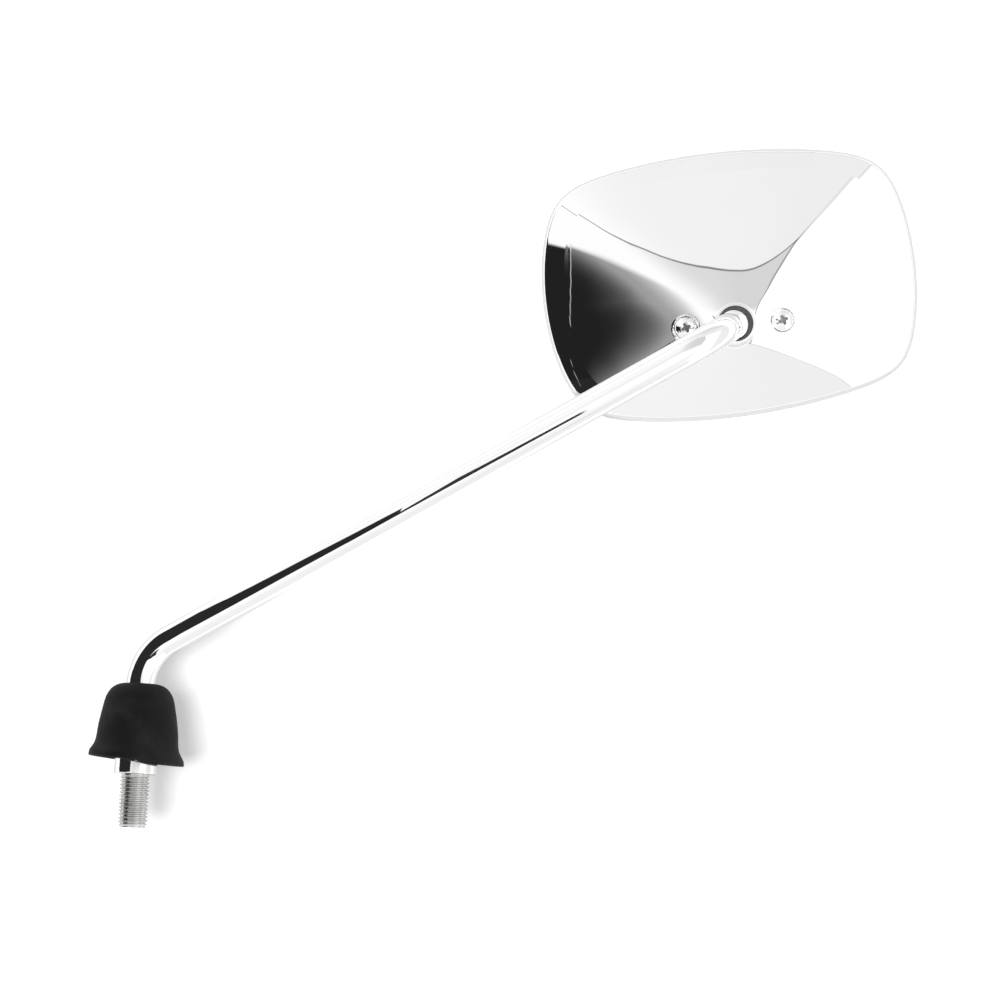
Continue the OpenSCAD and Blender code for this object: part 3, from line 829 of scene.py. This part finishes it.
def makeBall(s):
    r, flat, shank = s["ballR"], s["flat"], s["shank"]
    low, flatR = math.asin(shank / r), math.sqrt(r * r - flat ** 2)
    arc = [(r * math.sin(a), r * math.cos(a)) for a in np.linspace(low, math.pi - math.acos(flat / r), 48)]
    foot = [(flatR - 0.2, -flat - 0.02), (0.4, -flat), (0.2, -flat + 0.5), (shank - 0.05, 0)]
    return revolve([(shank - 0.02, r * math.cos(low) - 0.05), *arc, *foot], s["around"])


points, faces = makeBall(jointSet)
swivelBall = addPiece("swivelBall", ballAt + (points * mm) @ neckAxes.T, faces, screwChrome, 40)
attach(swivelBall, "arm")
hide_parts("pivot_ball")


def makeRing(s):
    def arc(radius, start, end):
        return [(math.sqrt(radius ** 2 - z * z), z) for z in np.linspace(start, end, s["ringRows"])]

    inner = arc(s["seatR"], s["ringFoot"], s["ringTop"] - 0.05)
    outer = arc(s["ringR"], s["ringTop"] - 0.12, s["ringFoot"])
    brim = [(inner[-1][0] + 0.15, s["ringTop"]), (outer[0][0] - 0.15, s["ringTop"])]
    return revolve([*inner, *brim, *outer], s["around"])


points, faces = makeRing(jointSet)
ringAxes = frameAlong(headAxes[:, 2] + neckWay)      # halfway between the head's axis and the neck
seatRing = addPiece("looseRing", ballAt + (points * mm) @ ringAxes.T, faces, ringNylon, 40)
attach(seatRing, "ring")
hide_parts("seat_ring")
print("ball joint made")

# rubber channel round the glass
gasketSet = {"foot": 0.1, "wall": 1.6, "lip": 1.4, "lipThick": 0.8, "lipRise": 0.25, "height": 5.8, "around": 288}


def makeGasket(s):
    angles = fullTurn(s["around"])
    spokes = np.stack([np.cos(angles), np.sin(angles)], 1)
    outer, inner = h["thick"], h["thick"] + s["wall"]
    lip, shelf = inner + s["lip"], s["foot"] + s["lipThick"]
    corners = [(outer, s["foot"], 0.5), (outer, s["height"], 0.2), (inner, s["height"], 0.2), (inner, shelf, 0.1),
               (lip, shelf, 0.3), (lip, s["lipRise"] + s["foot"], 0.2), (inner, s["foot"], 0.6)]
    rows = [ringRow(angles, reachAt(spokes, gap), h["rimZ"] + z) for gap, z in rounded(corners, 0.2, 3)]
    return np.concatenate(rows), gridFaces(len(rows), s["around"], closedRows=True)


points, faces = makeGasket(gasketSet)
glassChannel = addPiece("glassChannel", fromHead(points), faces, sealRubber, 50)
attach(glassChannel, "head")
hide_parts("glass_gasket")

for node, material in (("ball_liner", linerNylon), ("clamp_plate", plateZinc),
                       ("backing_pad", foamBlack), ("mirror_glass", silveredGlass)):
    part = frame["nodes"][node]
    part.data.materials.clear()
    part.data.materials.append(material)
print("gasket made, hidden parts dressed")

# table, cards and light
lookWay = -headAxes[:, 2]          # the photograph looks straight at the head's back
sideWay, riseWay = headAxes[:, 0], headAxes[:, 1]


def bareMaterial(name):
    material = bpy.data.materials.new(name)
    material.use_nodes = True
    tree = material.node_tree
    tree.nodes.clear()
    return material, tree, tree.nodes.new("ShaderNodeOutputMaterial").inputs["Surface"]


def stageSheet(name, corners, material):
    mesh = bpy.data.meshes.new(name)
    mesh.from_pydata([corner.tolist() for corner in corners], [], [tuple(range(len(corners)))])
    mesh.update()
    mesh.materials.append(material)
    sheet = bpy.data.objects.new(name, mesh)
    scene.collection.objects.link(sheet)
    sheet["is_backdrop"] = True
    return sheet


# depth in mm below the ball, the other distances in m; the seen values and the near tone are what polished metal gets,
# and close to the boot and the head they are painted shade
# glow to glowFar is painted light: the table glows less near the boot
tableSet = {"depth": 26.9, "size": 4.0, "tone": 0.8, "glow": 0.28, "glowFar": 0.5, "glowFrom": (0.03, 0.056),
            "seenInPaintedShade": 0.0, "seenFar": 0.24, "paintedShadeTone": 0.72, "paintedShadeFromBoot": (0.045, 0.08),
            "paintedShadeFromHead": (0.085, 0.11)}


def tableFinish(s):
    # seen from one side only, so that it hides nothing from behind
    material, tree, surface = bareMaterial("paleTable")
    matt = tree.nodes.new("ShaderNodeBsdfDiffuse")
    glow = tree.nodes.new("ShaderNodeEmission")
    glossy = tree.nodes.new("ShaderNodeLightPath").outputs["Is Glossy Ray"]
    place = tree.nodes.new("ShaderNodeTexCoord").outputs["Object"]

    def farFrom(point, reach, low, high):
        node = tree.nodes.new("ShaderNodeVectorMath")
        node.operation = "DISTANCE"
        tree.links.new(place, node.inputs[0])
        node.inputs[1].default_value = tuple(point + lookWay * (s["depth"] * mm + (ballAt - point) @ lookWay))
        return spread(tree, node.outputs["Value"], *reach, low, high)

    # painted glow: the table's glow is painted weaker near the boot and stronger away from it
    bootAt = np.array([0.0, 0.0, 0.02])
    shown = farFrom(bootAt, s["glowFrom"], s["glow"], s["glowFar"])
    # painted shade: close to the boot and the head, the table that polished metal sees is painted darker, standing in
    # for the shade the object casts on it
    paintedShadeByBoot = farFrom(bootAt, s["paintedShadeFromBoot"], s["seenInPaintedShade"], s["seenFar"])
    paintedShadeByHead = farFrom(ballAt, s["paintedShadeFromHead"], s["seenInPaintedShade"], s["seenFar"])
    seenWithPaintedShade = calc(tree, "MINIMUM", paintedShadeByBoot, paintedShadeByHead)
    seen = calc(tree, "MULTIPLY_ADD", glossy, calc(tree, "SUBTRACT", seenWithPaintedShade, shown), shown)
    # painted shade: the table's colour for polished metal drops to the near tone close to the object
    paintedShadeDrop = spread(tree, seenWithPaintedShade, s["seenInPaintedShade"], s["seenFar"], s["paintedShadeTone"] - s["tone"], 0.0, soft=False)
    tree.links.new(calc(tree, "MULTIPLY_ADD", glossy, paintedShadeDrop, s["tone"]), matt.inputs["Color"])
    tree.links.new(seen, glow.inputs["Strength"])
    both = tree.nodes.new("ShaderNodeAddShader")
    tree.links.new(matt.outputs[0], both.inputs[0])
    tree.links.new(glow.outputs[0], both.inputs[1])
    clear = tree.nodes.new("ShaderNodeBsdfTransparent")
    pick = tree.nodes.new("ShaderNodeMixShader")
    tree.links.new(tree.nodes.new("ShaderNodeNewGeometry").outputs["Backfacing"], pick.inputs[0])
    tree.links.new(both.outputs[0], pick.inputs[1])
    tree.links.new(clear.outputs[0], pick.inputs[2])
    tree.links.new(pick.outputs[0], surface)
    return material


tableAt = ballAt + lookWay * tableSet["depth"] * mm
halfRight, halfUp = sideWay * tableSet["size"] / 2, riseWay * tableSet["size"] / 2
tableCorners = [tableAt - halfRight - halfUp, tableAt + halfRight - halfUp,
                tableAt + halfRight + halfUp, tableAt - halfRight + halfUp]
stageSheet("paleTable", tableCorners, tableFinish(tableSet))

# what polished metal sees, by direction in degrees from the head's own axis: a to the right, b to the top.
# Edges are (a, b) points, the right one (b, a). Two numbers are where something fades in, and four are
# where a tone or width starts and stops changing, then its two values
worldSet = {"topEdge": [(-60, 42), (-45, 40), (-29, 37), (-18, 44), (-7, 49.5), (2, 54), (12, 49.5), (19, 46),
                        (30, 46), (60, 42)],
            "rightEdge": [(-70, 12), (-45, 20), (-1, 27), (24, 30), (37, 25), (45, 22), (60, 20)],
            "lowEdge": [(-60, -62), (12, -62), (20, -65), (25, -67.5), (28, -70), (30, -76), (32, -84), (36, -98),
                        (45, -119), (60, -119)],
            "edgeSoft": 0.3, "edgePlaces": 31, "edgeSpan": 240.0,
            "leftTone": (-32, -4, 1.04, 0.74), "leftFall": (-4, 8, 0.0, 0.04), "riseTone": (-60, -15, 0.92, 1.1),
            "riseFrom": (-5, 12), "rightTone": (58, 68, 1.3, 0.9), "topTone": (-35, 0, 1.05, 0.93),
            "topFall": (0, 22, 0.0, 0.035), "outerFrom": (58, 72), "outerDrop": 0.075, "outerFall": (0, 12, 0.0, 0.05),
            "lowTone": (-10, 25, 0.945, 0.905), "lowFall": (-90, -100, 0.0, 0.02),
            "gapCore": 0.3, "topGapWide": (21, 25, 0.42, 2.6), "topGapIn": (-60, -56),
            "topGapOut": (21, 25, 1.0, 0.15), "topGap": 0.75, "rightGapWide": 0.8, "rightGap": 0.6,
            "lowGapWide": (26, 30, 1.2, 2.6), "lowGapIn": (8, 14), "lowGap": (26, 30, 0.3, 0.1),
            "darkTop": 17.0, "darkLow": (-58.5, -55, -17.5, -28.5), "darkFrom": -50.0, "darkRise": 0.4,
            "darkRim": (-47, -41, 0.7, 3.5), "darkSlant": 0.17, "darkShift": 0.5,
            "darkFade": [(-48, -43.8, 0.32), (-44, -38, 0.17), (-40, -29, 0.51)], "darkLean": (115, 130, 1.0, 0.0),
            "dark": 0.015, "plain": 0.45}


def studioWorld(s):
    world = bpy.data.worlds.new("studio")
    scene.world = world
    world.use_nodes = True
    tree = world.node_tree
    tree.nodes.clear()
    way = tree.nodes.new("ShaderNodeTexCoord").outputs["Generated"]
    plus, minus, times = sumsOf(tree)

    def along(axis):
        node = tree.nodes.new("ShaderNodeVectorMath")
        node.operation = "DOT_PRODUCT"
        tree.links.new(way, node.inputs[0])
        node.inputs[1].default_value = tuple(axis)
        return node.outputs["Value"]

    def soft(value, low, high, outLow=0.0, outHigh=1.0):
        return spread(tree, value, low, high, outLow, outHigh)

    def blend(factor, low, high):
        return plus(low, times(factor, minus(high, low)))

    def edge(value, points):
        # a panel's edge as one smooth curve through a few directions; heights fill the span about zero
        low, high = points[0][0], points[-1][0]
        places, span = np.linspace(low, high, s["edgePlaces"]), s["edgeSpan"]
        shifts = (-4, -2.5, -1, 1, 2.5, 4)
        heights = np.mean([np.interp(places + shift, *zip(*points)) for shift in shifts], axis=0)
        node = tree.nodes.new("ShaderNodeFloatCurve")
        line = node.mapping.curves[0]
        spots = [((x - low) / (high - low), y / span + 0.5) for x, y in zip(places.tolist(), heights.tolist())]
        line.points[0].location, line.points[1].location = spots[0], spots[-1]
        for spot in spots[1:-1]:
            line.points.new(*spot)
        for point in line.points:
            point.handle_type = "AUTO"
        node.mapping.update()
        link(tree, spread(tree, value, low, high, soft=False), node.inputs["Value"])
        return calc(tree, "MULTIPLY_ADD", node.outputs["Value"], span, -span / 2)

    nearOne = 0.9999
    outward = calc(tree, "MINIMUM", calc(tree, "MAXIMUM", along(headAxes[:, 2]), -nearOne), nearOne)
    lean = times(calc(tree, "ARCCOSINE", outward), 180 / math.pi)
    share = calc(tree, "DIVIDE", lean, calc(tree, "SINE", calc(tree, "ARCCOSINE", outward)))
    a, b = times(along(sideWay), share), times(along(riseWay), share)
    aboveTop, pastRight = minus(b, edge(a, s["topEdge"])), minus(a, edge(b, s["rightEdge"]))
    belowLow = minus(edge(a, s["lowEdge"]), b)
    isTop, isRight, isLow = (soft(value, -s["edgeSoft"], s["edgeSoft"]) for value in (aboveTop, pastRight, belowLow))

    # the panels, each laid over the one before
    left = minus(soft(a, *s["leftTone"]), soft(a, *s["leftFall"]))
    tone = blend(soft(b, *s["riseFrom"]), soft(b, *s["riseTone"]), left)
    tone = blend(isRight, tone, soft(a, *s["rightTone"]))
    outer = times(soft(b, *s["outerFrom"]), plus(s["outerDrop"], soft(a, *s["outerFall"])))
    tone = blend(isTop, tone, minus(minus(soft(a, *s["topTone"]), soft(a, *s["topFall"])), outer))
    tone = blend(isLow, tone, minus(soft(a, *s["lowTone"]), soft(b, *s["lowFall"])))

    # narrow gaps between the panels: fine over the middle, wide and faint past it
    inTop = times(soft(a, *s["topGapIn"]), soft(a, *s["topGapOut"]))
    bare = times(minus(1.0, isTop), minus(1.0, isLow))
    gaps = [(aboveTop, soft(a, *s["topGapWide"]), times(inTop, s["topGap"])),
            (pastRight, s["rightGapWide"], times(s["rightGap"], bare)),
            (belowLow, soft(a, *s["lowGapWide"]), times(soft(a, *s["lowGapIn"]), soft(a, *s["lowGap"])))]
    for value, width, depth in gaps:
        line = soft(calc(tree, "ABSOLUTE", value), times(width, s["gapCore"]), width, 1.0, 0.0)
        tone = times(tone, minus(1.0, times(line, depth)))

    # the dark side of the room, beyond a soft edge, with light creeping in from the right
    top = plus(s["darkTop"], times(calc(tree, "MAXIMUM", minus(s["darkFrom"], a), 0.0), s["darkRise"]))
    under = soft(calc(tree, "DIVIDE", minus(b, top), soft(a, *s["darkRim"])), -1.0, 1.0, 1.0, 0.0)
    over = soft(minus(b, soft(a, *s["darkLow"])), -1.0, 1.0)
    across = plus(a, s["darkShift"], times(calc(tree, "MINIMUM", b, 0.0), s["darkSlant"]))
    light = plus(*(soft(across, low, high, 0.0, share) for low, high, share in s["darkFade"]))
    dark = times(times(times(under, over), minus(1.0, light)), soft(lean, *s["darkLean"]))
    tone = blend(dark, tone, s["dark"])

    studio, plain = (tree.nodes.new("ShaderNodeBackground") for _ in range(2))
    for node in (studio, plain):
        node.inputs["Color"].default_value = (1, 1, 1, 1)
    tree.links.new(tone, studio.inputs["Strength"])
    plain.inputs["Strength"].default_value = s["plain"]
    pick = tree.nodes.new("ShaderNodeMixShader")
    tree.links.new(tree.nodes.new("ShaderNodeLightPath").outputs["Is Glossy Ray"], pick.inputs[0])
    tree.links.new(plain.outputs[0], pick.inputs[1])
    tree.links.new(studio.outputs[0], pick.inputs[2])
    tree.links.new(pick.outputs[0], tree.nodes.new("ShaderNodeOutputWorld").inputs["Surface"])


studioWorld(worldSet)

cameraSet = {"place": (119.46, -1004.32, -31.43), "right": (0.99905, -0.00562, 0.04326),
             "up": (-0.04362, -0.12867, 0.99073), "back": (0.0, -0.99167, -0.12880),
             "lens": 106.2, "sensor": 36, "clip": (0.01, 50)}

# two dark cards over the table: a low one beside the rod, and one where the camera and its stand are
rodCardSet = {"height": 60.0, "tone": 0.022,
              "corners": [(-22, 4), (-22, 12), (-6, 35), (16, 41), (37, 50), (57, 56), (67, 61), (76, 66), (78, 80),
                          (72, 93), (49, 93), (33, 96), (15, 102), (-1, 106), (-25, 117), (-64, 145), (-242, 318),
                          (-498, 586), (-1500, 1300), (-1500, 4)]}
standCardSet = {"height": 985.0, "tone": 0.035,
                "corners": [(34, -192), (176, -473), (135, -437), (78, -410), (0, -351), (-74, -343), (-110, -343),
                            (-224, 76), (-153, -14), (-103, -64), (-53, -114)]}


def overTable(x, y, height):
    # a point over the table, in the photograph's own directions from the stud
    ways = (np.array(cameraSet[key]) for key in ("right", "up", "back"))
    return sum(far * way for far, way in zip((x, y, height), ways)) * mm


def addCard(name, s):
    # seen only in polished metal
    material, tree, surface = bareMaterial(name)
    dark = tree.nodes.new("ShaderNodeEmission")
    dark.inputs["Color"].default_value = (*grey(s["tone"]), 1)
    tree.links.new(dark.outputs[0], surface)
    card = stageSheet(name, [overTable(x, y, s["height"]) for x, y in s["corners"]], material)
    card.visible_camera = card.visible_diffuse = card.visible_shadow = card.visible_transmission = False


addCard("rodCard", rodCardSet)
addCard("standCard", standCardSet)

# one broad lamp high on the left; the polished pieces see the panels instead
keySet = {"size": 1.0, "energy": 43.0, "height": 2.3, "left": 0.4, "up": 0.1}
keyData = bpy.data.lights.new("key", "AREA")
keyData.shape = "DISK"
keyData.size = keySet["size"]
keyData.energy = keySet["energy"]
key = bpy.data.objects.new("key", keyData)
scene.collection.objects.link(key)
keyAt = Vector(-lookWay * keySet["height"] - sideWay * keySet["left"] + riseWay * keySet["up"])
key.location = keyAt
key.rotation_euler = keyAt.to_track_quat("Z", "Y").to_euler()
key.visible_glossy = False

camera = bpy.data.objects.new("camera", bpy.data.cameras.new("camera"))
scene.collection.objects.link(camera)
axes = Matrix((cameraSet["right"], cameraSet["up"], cameraSet["back"])).transposed().to_4x4()
camera.matrix_world = Matrix.Translation(Vector(cameraSet["place"]) * mm) @ axes
camera.data.lens = cameraSet["lens"]
camera.data.sensor_width = cameraSet["sensor"]
camera.data.clip_start, camera.data.clip_end = cameraSet["clip"]
scene.camera = camera
scene.view_settings.view_transform = "Standard"
print("stage and camera ready")

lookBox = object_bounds()
plainBox = lambda box: [[float(v) for v in corner] for corner in box]
{"cad": plainBox(cadBox), "look": plainBox(lookBox)}
